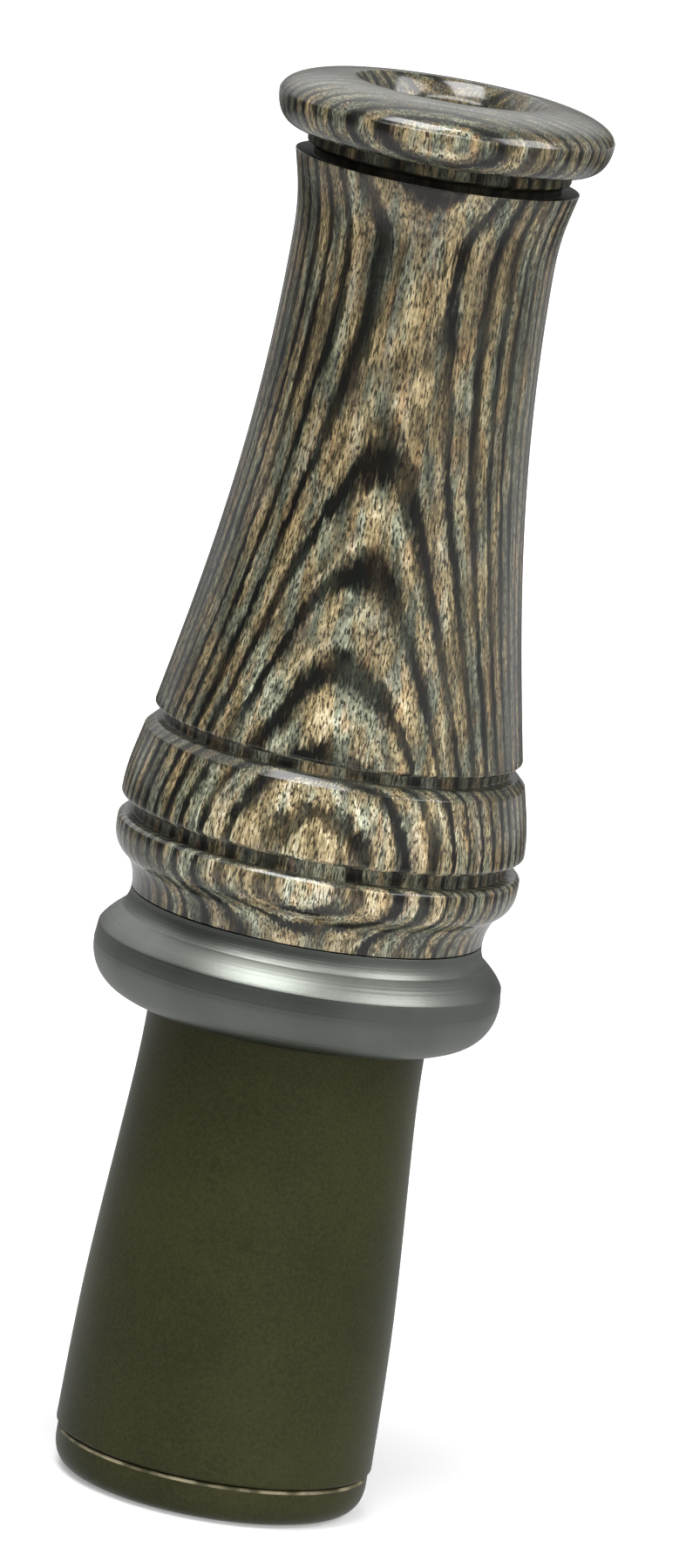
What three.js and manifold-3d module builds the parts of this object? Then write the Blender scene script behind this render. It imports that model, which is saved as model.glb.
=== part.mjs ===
// Hand-held predator call with three voices, in millimetres, +Z up along the call's axis.
// It stands on its selector cap, with the bell of the wooden barrel on top.
//
// From the bottom up: a selector cap with one blow hole turns on the mouth tube. Behind it
// a carrier holds three closed-reed voices, and the cap lets air into one of them at a time.
// The mouth tube's spigot plugs into the barrel on two O-rings, and a metal ring binds the
// barrel's end.

import * as THREE from 'three';
import { mergeVertices } from 'three/addons/utils/BufferGeometryUtils.js';
import Module from 'manifold-3d';

const wasm = await Module();
wasm.setup();

const stockRadius = 19; // of the round bar and the wood blank that ring and barrel are turned from

// Gaps between pieces
const seatGap = 0.3; // between faces that rest on each other
const reedGap = 0.2; // either side of a reed, and round the small pieces of a voice
const sealGap = 0.2; // either side of the face seal
const oRingGap = 0.15; // between an O-ring and what it seals
const runningFit = 0.1; // radial, round the turning selector cap
const spigotFit = 0.2; // radial, between spigot and socket

// Selector cap
const capInset = 0.24; // inside the mouth tube's foot
const capHeight = 3.7;
const capCornerRadius = 2.8;
const capPlateThickness = 3;
const skirtWall = 1.6;
const skirtReach = 3; // into the mouth tube, past the seam
const snapDepth = 0.35;
const snapHeight = 0.8;
const snapInset = 1.3; // middle of the snap bead below the skirt's top
const blowHoleRadius = 3.2;
const blowHoleMargin = 1.26; // from the holes to the edge of the seal
const blowHoleChamfer = 0.4;

// Mouth tube
const tubeLength = 41.6; // from the seam to the shoulder that carries the barrel
const tubeTopRadius = 13;
const tubeNeckFlare = 0.17; // wider than the top
const tubeNeckDrop = 7.5; // below the shoulder
const tubeBellyInset = 0.36; // slimmer than the foot
const tubeBellyRise = 14.5; // above the seam
const tubeEdgeRound = 0.3;
const tubeFootWall = 1.81;
const tubeTopWall = 1.65;
const ledgeRise = 10.3; // from the seam to the ledge that stops the carrier
const ledgeWidth = 0.85;
const funnelHeight = 4.4; // where the chamber narrows into the spigot
const shoulderWidth = 1.5;
const spigotLength = 16.8;
const spigotWall = 3.1;
const spigotChamfer = 0.5;
const oRingCord = 1.8; // diameter of the rubber
const grooveWidth = 2.2;
const lowerGrooveRise = 4.4; // middle of the O-ring groove above the shoulder
const upperGrooveDrop = 4.9; // middle of the other one below the spigot's end

// Reed carrier and its face seal
const carrierSocketDepth = 5.7;
const sealThickness = 1.4;

// Voices, on a circle round the axis
const voiceWeb = 2.6; // between neighbouring sleeves
const voiceMargin = 0.35; // between a sleeve and the chamber's wall
const voiceHeadroom = 3.4; // above the collars, up to the funnel
const sleeveWall = 0.5;
const plugLength = 7.5;
const collarThickness = 1.5;
const tableHeight = 0.6; // of the flat that faces the reed, off the voice's own axis
const tipLip = 0.8; // tone board beyond the reed's tip
const tipRise = 2.2; // longest tone board above the foot of its sleeve
const channelRadius = 1.3;
const channelDepth = 1.7; // from the table to the middle of the round channel
const channelSill = 2.2; // solid tone board before the air channel starts
const wedgeLength = 4.6;
const wedgeTipThickness = 0.8;
const reedWidth = 4.4;
const reedThickness = 0.3;
const reedSetback = 0.6; // of the reed's root inside the wedge
const reedCorner = 0.8;
const reedSwing = THREE.MathUtils.degToRad(2); // from rest until the reed closes
const voices = [
  { name: 'low', shortening: 0, angle: THREE.MathUtils.degToRad(-90) },
  { name: 'mid', shortening: 2, angle: THREE.MathUtils.degToRad(30) },
  { name: 'high', shortening: 4, angle: THREE.MathUtils.degToRad(150) },
];

// Barrel ring
const ringHeight = 9.7;
const ringDrop = 0.2; // below the mouth tube's shoulder
const ringTopWall = 1.9;
const ringCoveHeight = 1.8;
const ringCoveWidth = 0.55;
const ringShoulderHeight = 2;
const ringSideHeight = 1.5;
const ringEdgeInset = 0.15; // of the crisp shoulder edge inside the widest point
const ringFootBreak = 0.4;

// Barrel, from the ring's joint up
const tenonLip = 1.2; // step inside the ring, wider than the mouth tube's top
const coveHeight = 2.8;
const beadInset = 0.25; // inside the stock
const beadProjection = 1.25; // past where the cove turns over into it
const beadHeight = 3.8;
const lowerGrooveWidth = 1.5;
const lowerGrooveDepth = 1.5;
const bandInset = 0.2; // inside the stock
const bandHeight = 7.6;
const bandTaper = 1.05; // slimmer at its top
const bandChamfer = 0.8;
const upperGrooveWidth = 1.1;
const upperGrooveDepth = 1.1;
const edgeBreak = 0.35; // softened edges of the turned wood
const bodyInset = 1.85; // of the body's foot, inside the stock
const bodyHeight = 53;
const waistRadius = 12.05;
const waistDrop = 7.6; // below the body's top edge
const bodyTopRadius = 13.15;
const neckDepth = 0.95;
const neckHeight = 2;
const rimFootRadius = 13.7;
const rimRadius = 15.5;
const rimHeight = 3.5;
const crownHeight = 1.9;
const boreRadius = 7.6;
const boreLipWidth = 1.3; // of the flare where the bore meets the crown
const boreLipDepth = 2;
const socketEndGap = 0.9; // beyond the spigot's end
const socketConeHeight = 3.7;

// Three sleeves share the chamber: each touches the margin and keeps a web to the next one
const chamberTopRadius = tubeTopRadius - tubeTopWall;
const voiceSpread = Math.sqrt(3); // spacing of neighbours on a circle of radius 1
const voiceReach = chamberTopRadius - voiceMargin;
const sleeveRadius = (voiceReach * voiceSpread - voiceWeb) / (2 + voiceSpread);
const voiceCircleRadius = voiceReach - sleeveRadius;

// The mouth end is built outwards from the blow holes: seal, skirt, tube and cap
const sealRadius = voiceCircleRadius + blowHoleRadius + blowHoleMargin;
const skirtRadius = sealRadius + seatGap + skirtWall;
const tubeBoreRadius = skirtRadius + runningFit;
const chamberFootRadius = tubeBoreRadius - ledgeWidth;
const tubeFootRadius = tubeBoreRadius + tubeFootWall;
const capRadius = tubeFootRadius - capInset;

// The barrel end is built outwards from the spigot: socket, tenon and ring
const spigotRadius = tubeTopRadius - shoulderWidth;
const spigotBoreRadius = spigotRadius - spigotWall;
const socketRadius = spigotRadius + spigotFit;
const oRingRadius = socketRadius - oRingGap - oRingCord / 2;
const tenonRadius = tubeTopRadius + tenonLip;
const ringBoreRadius = tenonRadius + seatGap;
const ringTopRadius = ringBoreRadius + ringTopWall;
const beadRadius = stockRadius - beadInset;
const bandRadius = stockRadius - bandInset;
const bodyFootRadius = stockRadius - bodyInset;

// Heights that follow from the stack
const seam = capHeight + seatGap;
const shoulder = seam + tubeLength;
const spigotTop = shoulder + spigotLength;
const barrelFoot = shoulder + seatGap;
const ringFoot = shoulder - ringDrop;
const ringTop = ringFoot + ringHeight;
const joint = ringTop + seatGap;
const skirtTop = seam + skirtReach;
const snapMiddle = skirtTop - snapInset;
const ledge = seam + ledgeRise;
const carrierTop = ledge - seatGap;
const carrierFlangeFoot = skirtTop + seatGap;
const sealFoot = capPlateThickness + sealGap;
const sealTop = sealFoot + sealThickness;
const carrierFoot = sealTop + sealGap;
const socketFloor = carrierTop - carrierSocketDepth;
const voiceFoot = socketFloor + reedGap;
const chamberTop = shoulder - funnelHeight;
const sleeveLength = chamberTop - voiceHeadroom - collarThickness - seatGap - voiceFoot;
const plugFoot = sleeveLength - plugLength;
const longestReed = plugFoot - tipRise - tipLip;

// Facets round the axis
const turnedFacets = 44;
const smallFacets = 20;
const channelFacets = 12;
const oRingSides = 8;
const curveSteps = 4;

const wood = { color: 0x6f6350, roughness: 0.45, metalness: 0 };
const metal = { color: 0x6b706c, roughness: 0.35, metalness: 1 };
const darkPlastic = { color: 0x33321f, roughness: 0.4, metalness: 0 };
const brass = { color: 0xb08d4a, roughness: 0.35, metalness: 1 };
const rubber = { color: 0x1c1c1c, roughness: 0.8, metalness: 0 };
const palePlastic = { color: 0xd8d4c8, roughness: 0.4, metalness: 0 };
const reedFilm = { color: 0xe6e3da, roughness: 0.25, metalness: 0 };

const call = new THREE.Group();

function addPart(name, geometry, finish, parent = call) {
  const mesh = new THREE.Mesh(geometry, new THREE.MeshStandardMaterial(finish));
  mesh.name = name;
  parent.add(mesh);
  return mesh;
}

// Merges shared corners and drops the empty triangles that a point on the axis leaves
function closed(geometry) {
  geometry.deleteAttribute('normal');
  geometry.deleteAttribute('uv');
  const merged = mergeVertices(geometry);
  const corners = merged.index.array;
  const kept = [];
  for (let i = 0; i < corners.length; i += 3) {
    const [a, b, c] = corners.slice(i, i + 3);
    if (a !== b && b !== c && c !== a) kept.push(a, b, c);
  }
  merged.setIndex(kept);
  merged.computeVertexNormals();
  return merged;
}

// Turns an outline of radius and height round the Z axis
function revolve(outline, facets = turnedFacets) {
  const points = outline.getPoints(curveSteps);
  if (!points[0].equals(points.at(-1))) points.push(points[0].clone());
  if (THREE.ShapeUtils.area(points) < 0) points.reverse();
  return closed(new THREE.LatheGeometry(points, facets).rotateX(Math.PI / 2));
}

// Extrudes an outline of Y and Z by a width centred on X
function extrudeAcross(outline, width) {
  const geometry = new THREE.ExtrudeGeometry(outline, {
    depth: width,
    bevelEnabled: false,
    curveSegments: curveSteps,
  });
  geometry.translate(0, 0, -width / 2);
  const alongY = new THREE.Vector3(0, 1, 0);
  const alongZ = new THREE.Vector3(0, 0, 1);
  const alongX = new THREE.Vector3(1, 0, 0);
  return closed(geometry.applyMatrix4(new THREE.Matrix4().makeBasis(alongY, alongZ, alongX)));
}

function uprightCylinder(radius, bottom, top, facets = smallFacets) {
  const geometry = new THREE.CylinderGeometry(radius, radius, top - bottom, facets);
  return closed(geometry.rotateX(Math.PI / 2).translate(0, 0, (bottom + top) / 2));
}

function toSolid(geometry) {
  return new wasm.Manifold(new wasm.Mesh({
    numProp: 3,
    vertProperties: new Float32Array(geometry.attributes.position.array),
    triVerts: new Uint32Array(geometry.index.array),
  }));
}

function toGeometry(solid) {
  const mesh = solid.getMesh();
  const geometry = new THREE.BufferGeometry();
  geometry.setAttribute('position', new THREE.BufferAttribute(mesh.vertProperties, 3));
  geometry.setIndex(new THREE.BufferAttribute(mesh.triVerts, 1));
  geometry.computeVertexNormals();
  return geometry;
}

function cut(geometry, ...cutters) {
  const solid = cutters.reduce((left, cutter) => left.subtract(toSolid(cutter)), toSolid(geometry));
  return toGeometry(solid);
}

function common(geometry, other) {
  return toGeometry(toSolid(geometry).intersect(toSolid(other)));
}

// Curves on to a radius and height. Each handle is a share of the way out and of the way up.
function curveTo(outline, radius, height, firstHandle, secondHandle) {
  const { x, y } = outline.currentPoint;
  const out = radius - x;
  const up = height - y;
  outline.bezierCurveTo(
    x + out * firstHandle[0], y + up * firstHandle[1],
    x + out * secondHandle[0], y + up * secondHandle[1],
    radius, height,
  );
}

// A straight-walled groove that is cut in to a radius, up to where the next form starts
function grooveTo(outline, floorRadius, top, nextRadius) {
  outline.lineTo(floorRadius, outline.currentPoint.y);
  outline.lineTo(floorRadius, top);
  outline.lineTo(nextRadius, top);
}

// Cove, bead and band: the mouldings between the ring and the long body
function drawMouldings(outline) {
  const coveTop = joint + coveHeight;
  const beadTop = coveTop + beadHeight;
  const bandFoot = beadTop + lowerGrooveWidth;
  const bandTop = bandFoot + bandHeight;
  outline.lineTo(ringTopRadius, joint);
  curveTo(outline, beadRadius - beadProjection, coveTop, [0.05, 0.5], [0.55, 0.85]);
  curveTo(outline, beadRadius, beadTop - edgeBreak, [0.8, 0.2], [1.1, 0.45]);
  outline.lineTo(beadRadius - edgeBreak, beadTop);
  grooveTo(outline, bandRadius - lowerGrooveDepth, bandFoot, bandRadius - edgeBreak);
  outline.lineTo(bandRadius, bandFoot + edgeBreak);
  curveTo(outline, bandRadius - bandTaper, bandTop - bandChamfer, [0, 0.4], [0.65, 0.7]);
  outline.lineTo(bandRadius - bandTaper - bandChamfer, bandTop);
}

// The long flare, in through the waist and out again to its sharp top edge
function drawBody(outline, foot) {
  const top = foot + bodyHeight;
  outline.lineTo(bodyFootRadius, foot + edgeBreak);
  curveTo(outline, waistRadius, top - waistDrop, [0.48, 0.28], [1, 0.58]);
  curveTo(outline, bodyTopRadius, top, [0, 0.5], [0.55, 0.7]);
}

// The bell's rim: a round underside, a crisp edge, then the domed crown and the bore's lip
function drawRim(outline, foot) {
  const edge = foot + rimHeight;
  const top = edge + crownHeight;
  curveTo(outline, rimRadius, edge - edgeBreak, [0.65, 0.12], [1, 0.5]);
  outline.lineTo(rimRadius - edgeBreak / 2, edge);
  curveTo(outline, boreRadius + boreLipWidth, top, [0.1, 0.6], [0.5, 1]);
  outline.quadraticCurveTo(boreRadius, top, boreRadius, top - boreLipDepth);
}

// One piece of turned wood with a step for the ring, a socket for the spigot and a bore
function barrel() {
  const outline = new THREE.Path();
  outline.moveTo(socketRadius, barrelFoot);
  outline.lineTo(tenonRadius, barrelFoot);
  outline.lineTo(tenonRadius, joint);
  drawMouldings(outline);
  const bodyFoot = outline.currentPoint.y + upperGrooveWidth;
  grooveTo(outline, bodyFootRadius - upperGrooveDepth, bodyFoot, bodyFootRadius - edgeBreak);
  drawBody(outline, bodyFoot);
  const rimFoot = outline.currentPoint.y + neckHeight;
  grooveTo(outline, bodyTopRadius - neckDepth, rimFoot, rimFootRadius);
  drawRim(outline, rimFoot);
  const socketEnd = spigotTop + socketEndGap;
  outline.lineTo(boreRadius, socketEnd + socketConeHeight);
  outline.lineTo(socketRadius, socketEnd);
  return revolve(outline);
}

// Metal ring with a small cove, a bright shoulder and a round belly, bored to fit the tenon
function barrelRing() {
  const outline = new THREE.Path();
  const coveFoot = ringTop - ringCoveHeight;
  const edge = coveFoot - ringShoulderHeight;
  outline.moveTo(ringBoreRadius, ringFoot + ringFootBreak);
  outline.lineTo(ringBoreRadius + ringFootBreak, ringFoot);
  curveTo(outline, stockRadius, edge - ringSideHeight, [0.5, 0], [1, 0.35]);
  outline.lineTo(stockRadius - ringEdgeInset, edge);
  curveTo(outline, ringTopRadius + ringCoveWidth, coveFoot, [0.2, 0.35], [0.65, 0.75]);
  curveTo(outline, ringTopRadius, ringTop, [0.6, 0.25], [1, 0.6]);
  outline.lineTo(ringBoreRadius, ringTop);
  return revolve(outline);
}

function drawOuterTube(outline) {
  outline.lineTo(tubeFootRadius - tubeEdgeRound, seam);
  outline.lineTo(tubeFootRadius, seam + tubeEdgeRound);
  const flare = new THREE.SplineCurve([
    outline.currentPoint.clone(),
    new THREE.Vector2(tubeFootRadius - tubeBellyInset, seam + tubeBellyRise),
    new THREE.Vector2(tubeTopRadius + tubeNeckFlare, shoulder - tubeNeckDrop),
    new THREE.Vector2(tubeTopRadius, shoulder),
  ]);
  for (const point of flare.getPoints(3 * curveSteps).slice(1)) outline.lineTo(point.x, point.y);
}

// The spigot's outside, with a square groove for each O-ring
function drawSpigot(outline) {
  const grooveFloor = oRingRadius - oRingCord / 2 - oRingGap;
  outline.lineTo(spigotRadius, shoulder);
  for (const middle of oRingHeights()) {
    outline.lineTo(spigotRadius, middle - grooveWidth / 2);
    grooveTo(outline, grooveFloor, middle + grooveWidth / 2, spigotRadius);
  }
  outline.lineTo(spigotRadius, spigotTop - spigotChamfer);
  outline.lineTo(spigotRadius - spigotChamfer, spigotTop);
  outline.lineTo(spigotBoreRadius, spigotTop);
}

function oRingHeights() {
  return [shoulder + lowerGrooveRise, spigotTop - upperGrooveDrop];
}

// The snap's profile goes out to a radius and back, over a half height each way
function drawSnap(outline, wallRadius, halfHeight, upwards) {
  const up = upwards ? 1 : -1;
  outline.lineTo(wallRadius, snapMiddle - up * (halfHeight + snapDepth));
  outline.lineTo(wallRadius + snapDepth, snapMiddle - up * halfHeight);
  outline.lineTo(wallRadius + snapDepth, snapMiddle + up * halfHeight);
  outline.lineTo(wallRadius, snapMiddle + up * (halfHeight + snapDepth));
}

// Moulded in one piece: flared tube, shoulder and spigot, with the snap groove near its mouth
function mouthTube() {
  const outline = new THREE.Path();
  outline.moveTo(tubeBoreRadius, seam);
  drawOuterTube(outline);
  drawSpigot(outline);
  outline.lineTo(spigotBoreRadius, shoulder);
  outline.lineTo(chamberTopRadius, chamberTop);
  outline.lineTo(chamberFootRadius, ledge);
  outline.lineTo(tubeBoreRadius, ledge);
  drawSnap(outline, tubeBoreRadius, (snapHeight + seatGap) / 2, false);
  return revolve(outline);
}

function oRing() {
  return closed(new THREE.TorusGeometry(oRingRadius, oRingCord / 2, oRingSides, turnedFacets));
}

// A hole at one voice's place, flared where it opens downwards at the given height
function voiceHole(radius, bottom, top, angle, chamfer = 0) {
  const beyond = 1;
  const outline = new THREE.Path();
  outline.moveTo(0, bottom - beyond);
  outline.lineTo(radius + chamfer, bottom - beyond);
  outline.lineTo(radius + chamfer, bottom);
  outline.lineTo(radius, bottom + chamfer);
  outline.lineTo(radius, top);
  outline.lineTo(0, top);
  const centre = voicePlace(angle);
  return revolve(outline, smallFacets).translate(centre.x, centre.y, 0);
}

function voicePlace(angle) {
  return new THREE.Vector2(Math.cos(angle), Math.sin(angle)).multiplyScalar(voiceCircleRadius);
}

// Flanged cap whose skirt snaps into the mouth tube, with its blow hole under the first voice
function selectorCap() {
  const corner = Math.min(capCornerRadius, capHeight);
  const outline = new THREE.Path();
  outline.moveTo(0, 0);
  outline.lineTo(capRadius - corner, 0);
  outline.quadraticCurveTo(capRadius, 0, capRadius, corner);
  outline.lineTo(capRadius, capHeight);
  outline.lineTo(skirtRadius, capHeight);
  drawSnap(outline, skirtRadius, snapHeight / 2, true);
  outline.lineTo(skirtRadius, skirtTop);
  outline.lineTo(skirtRadius - skirtWall, skirtTop);
  outline.lineTo(skirtRadius - skirtWall, capPlateThickness);
  outline.lineTo(0, capPlateThickness);
  const hole = voiceHole(blowHoleRadius, 0, skirtTop, voices[0].angle, blowHoleChamfer);
  return cut(revolve(outline), hole);
}

// Rubber disc that the cap's plate slides on
function selectorSeal() {
  const disc = uprightCylinder(sealRadius, sealFoot, sealTop, turnedFacets);
  const holes = voices.map(({ angle }) => voiceHole(blowHoleRadius, sealFoot, sealTop + 1, angle));
  return cut(disc, ...holes);
}

// Stepped disc that holds the foot of each voice over its air passage
function reedCarrier() {
  const outline = new THREE.Path();
  outline.moveTo(0, carrierFoot);
  outline.lineTo(sealRadius, carrierFoot);
  outline.lineTo(sealRadius, carrierFlangeFoot);
  outline.lineTo(tubeBoreRadius - seatGap, carrierFlangeFoot);
  outline.lineTo(tubeBoreRadius - seatGap, carrierTop);
  outline.lineTo(0, carrierTop);
  const holes = voices.flatMap(({ angle }) => {
    const place = voicePlace(angle);
    const socket = uprightCylinder(sleeveRadius + reedGap, socketFloor, carrierTop + 1);
    return [
      voiceHole(blowHoleRadius, carrierFoot, carrierTop, angle),
      socket.translate(place.x, place.y, 0),
    ];
  });
  return cut(revolve(outline), ...holes);
}

function voiceSleeve() {
  const outline = new THREE.Path();
  outline.moveTo(sleeveRadius - sleeveWall, 0);
  outline.lineTo(sleeveRadius, 0);
  outline.lineTo(sleeveRadius, sleeveLength);
  outline.lineTo(sleeveRadius - sleeveWall, sleeveLength);
  return revolve(outline, smallFacets);
}

// Round rod with a collar that rests on the sleeve's top
function toneBoardRod(tip) {
  const collarFoot = sleeveLength + seatGap;
  const rodRadius = sleeveRadius - sleeveWall - reedGap;
  const outline = new THREE.Path();
  outline.moveTo(0, tip);
  outline.lineTo(rodRadius, tip);
  outline.lineTo(rodRadius, collarFoot);
  outline.lineTo(sleeveRadius, collarFoot);
  outline.lineTo(sleeveRadius, collarFoot + collarThickness);
  outline.lineTo(0, collarFoot + collarThickness);
  return revolve(outline, smallFacets);
}

// What is milled off above the table, which falls away in a curve towards the tip
function aboveTable(tip, fall) {
  const side = new THREE.Shape();
  side.moveTo(tableHeight, plugFoot);
  side.quadraticCurveTo(tableHeight, (plugFoot + tip) / 2, tableHeight - fall, tip - 1);
  side.lineTo(sleeveRadius, tip - 1);
  side.lineTo(sleeveRadius, plugFoot);
  return extrudeAcross(side, 2 * sleeveRadius);
}

// Slot in the plug that the reed's root and the wedge go into
function wedgeSlot() {
  const end = plugFoot + wedgeLength + reedGap;
  const side = new THREE.Shape();
  side.moveTo(tableHeight, plugFoot - 1);
  side.lineTo(sleeveRadius, plugFoot - 1);
  side.lineTo(sleeveRadius, end);
  side.lineTo(tableHeight, end);
  return extrudeAcross(side, reedWidth + 2 * reedGap);
}

// Air channel as a ball-nosed cutter leaves it: open under the reed, then a bore in the plug
function airChannel(start) {
  const top = sleeveLength + 2 * collarThickness;
  const axisHeight = tableHeight - channelDepth;
  const round = new THREE.CapsuleGeometry(channelRadius, top - start, 3, channelFacets);
  round.rotateX(Math.PI / 2).translate(0, axisHeight, (top + start) / 2 + channelRadius);
  const side = new THREE.Shape();
  side.moveTo(axisHeight, start + channelRadius);
  side.lineTo(sleeveRadius, start + channelRadius);
  side.lineTo(sleeveRadius, plugFoot);
  side.lineTo(axisHeight, plugFoot);
  return [closed(round), extrudeAcross(side, 2 * channelRadius)];
}

function toneBoard(reedLength) {
  const tip = plugFoot - reedLength - tipLip;
  const fall = reedLength * Math.sin(reedSwing) + reedGap;
  const channel = airChannel(tip + tipLip + channelSill);
  return cut(toneBoardRod(tip), aboveTable(tip, fall), wedgeSlot(), ...channel);
}

// Thin strip with clipped corners at its free tip
function reed(reedLength) {
  const half = reedWidth / 2;
  const root = plugFoot + wedgeLength - reedSetback;
  const tip = plugFoot - reedLength;
  const outline = new THREE.Shape();
  outline.moveTo(-half, root);
  outline.lineTo(-half, tip + reedCorner);
  outline.lineTo(-half + reedCorner, tip);
  outline.lineTo(half - reedCorner, tip);
  outline.lineTo(half, tip + reedCorner);
  outline.lineTo(half, root);
  const strip = new THREE.ExtrudeGeometry(outline, { depth: reedThickness, bevelEnabled: false });
  strip.rotateX(Math.PI / 2);
  return closed(strip.translate(0, tableHeight + reedGap + reedThickness, 0));
}

// Tapered block that holds the reed's root down, rounded to fit inside the sleeve
function reedWedge() {
  const foot = tableHeight + 2 * reedGap + reedThickness;
  const end = plugFoot + wedgeLength;
  const side = new THREE.Shape();
  side.moveTo(foot, plugFoot);
  side.lineTo(foot + wedgeTipThickness, plugFoot);
  side.lineTo(sleeveRadius, end);
  side.lineTo(foot, end);
  const inside = sleeveRadius - sleeveWall - reedGap;
  return common(extrudeAcross(side, reedWidth), uprightCylinder(inside, plugFoot - 1, end + 1));
}

// A voice's own +Y points away from the call's axis, and its reed lies on that side
function addVoice({ name, shortening, angle }) {
  const reedLength = longestReed - shortening;
  const place = voicePlace(angle);
  const group = new THREE.Group();
  group.position.set(place.x, place.y, voiceFoot);
  group.rotation.z = angle - Math.PI / 2;
  call.add(group);
  addPart(`voice_sleeve_${name}`, voiceSleeve(), brass, group);
  addPart(`tone_board_${name}`, toneBoard(reedLength), palePlastic, group);
  addPart(`reed_${name}`, reed(reedLength), reedFilm, group);
  addPart(`reed_wedge_${name}`, reedWedge(), rubber, group);
}

addPart('barrel', barrel(), wood);
addPart('barrel_ring', barrelRing(), metal);
addPart('mouth_tube', mouthTube(), darkPlastic);
addPart('selector_cap', selectorCap(), darkPlastic);
addPart('selector_seal', selectorSeal(), rubber);
addPart('reed_carrier', reedCarrier(), palePlastic);
['o_ring_lower', 'o_ring_upper'].forEach((name, i) => {
  addPart(name, oRing(), rubber).position.z = oRingHeights()[i];
});
voices.forEach(addVoice);

export default call;
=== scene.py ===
"""Looks for a hand-held predator call with a turned wooden barrel.

The call stands on its selector cap with the bell up. Sections follow the assembly: mouth tube,
selector cap, reed carrier with its voices, seal and O-rings, barrel ring, barrel. The studio and
the camera come last. Lengths are in metres, radii are taken from the call's axis, and heights from
the floor.
"""
import math

import bpy
import mathutils
import numpy as np
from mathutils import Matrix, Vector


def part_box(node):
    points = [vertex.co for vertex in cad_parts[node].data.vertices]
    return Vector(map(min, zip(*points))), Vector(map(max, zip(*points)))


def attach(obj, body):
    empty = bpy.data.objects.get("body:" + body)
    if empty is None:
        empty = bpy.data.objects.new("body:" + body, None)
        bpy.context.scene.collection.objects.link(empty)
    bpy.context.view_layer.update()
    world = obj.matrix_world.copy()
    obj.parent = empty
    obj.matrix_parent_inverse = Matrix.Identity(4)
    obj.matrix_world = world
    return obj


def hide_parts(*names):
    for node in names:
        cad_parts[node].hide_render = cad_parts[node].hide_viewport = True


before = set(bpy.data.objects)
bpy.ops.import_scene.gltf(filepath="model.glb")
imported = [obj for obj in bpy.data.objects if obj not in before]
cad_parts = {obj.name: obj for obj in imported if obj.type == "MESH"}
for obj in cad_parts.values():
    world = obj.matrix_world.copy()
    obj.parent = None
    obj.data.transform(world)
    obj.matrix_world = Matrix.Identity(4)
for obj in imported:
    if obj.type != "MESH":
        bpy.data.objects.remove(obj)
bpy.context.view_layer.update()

# Mouth tube: one moulding of olive-brown plastic with a satin, finely spark-eroded skin. It flares
# towards the lips, stops the barrel with its shoulder and plugs into it with a grooved spigot.
MM = 0.001
tube_foot, tube_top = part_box("mouth_tube")
seam, spigot_end = tube_foot.z, tube_top.z
foot_radius = tube_top.x
waisted_radius, waisted_drop = 13.17 * MM, 7.5 * MM
top_radius = 13.0 * MM
belly_radius, belly_rise = foot_radius - 0.36 * MM, 14.5 * MM
shoulder = spigot_end - 16.8 * MM
spigot_radius, spigot_bore, spigot_chamfer = 11.5 * MM, 8.4 * MM, 0.5 * MM
groove_floor, groove_width = 9.6 * MM, 2.2 * MM
groove_middles = (shoulder + 4.4 * MM, spigot_end - 4.9 * MM)
chamber_top, chamber_radius = shoulder - 4.4 * MM, 11.35 * MM
bore_radius = foot_radius - 1.81 * MM
ledge, ledge_width = seam + 10.3 * MM, 0.85 * MM
snap_middle, snap_depth, snap_half = seam + 1.7 * MM, 0.35 * MM, 0.55 * MM
edge_round, mould_edge = 0.3 * MM, 0.12 * MM


def sweep_through(points, steps=16):
    """Smooth curve through points: between two of them it is a cubic that leaves and arrives along
    the line that joins their own neighbours, and at the ends along the first and last side."""
    points = np.array(points)
    padded = np.vstack([points[:1], points, points[-1:]])
    a, b, c, d = padded[:-3, None], padded[1:-2, None], padded[2:-1, None], padded[3:, None]
    t = np.linspace(0, 1, steps, endpoint=False)[None, :, None]
    linear, square, cube = c - a, 2 * a - 5 * b + 4 * c - d, 3 * b - a - 3 * c + d
    curve = b + 0.5 * (linear * t + square * t**2 + cube * t**3)
    return np.vstack([curve.reshape(-1, 2), points[-1:]])


def eased(outline, reach, steps=4, sharp=math.radians(20), most=0.4):
    """Breaks the corners of a closed outline: a corner point gives way to a parabola between the
    points `reach` away on its two sides, or `most` of the shorter side away where that is less."""
    back = np.roll(outline, 1, 0) - outline
    on = np.roll(outline, -1, 0) - outline
    back_side = np.linalg.norm(back, axis=1, keepdims=True)
    on_side = np.linalg.norm(on, axis=1, keepdims=True)
    cosine = -(back * on).sum(1, keepdims=True) / (back_side * on_side)
    shorter = np.minimum(back_side, on_side)
    cut = np.where(cosine < math.cos(sharp), np.minimum(reach, most * shorter), 0)
    start, end = outline + back / back_side * cut, outline + on / on_side * cut
    t = np.linspace(0, 1, steps + 1)[None, :, None]
    rounds = ((1 - t) ** 2 * start[:, None] + 2 * (1 - t) * t * outline[:, None]
              + t**2 * end[:, None])
    points = rounds.reshape(-1, 2)
    same_point = 1e-7
    return points[np.linalg.norm(points - np.roll(points, 1, 0), axis=1) > same_point]


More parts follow.
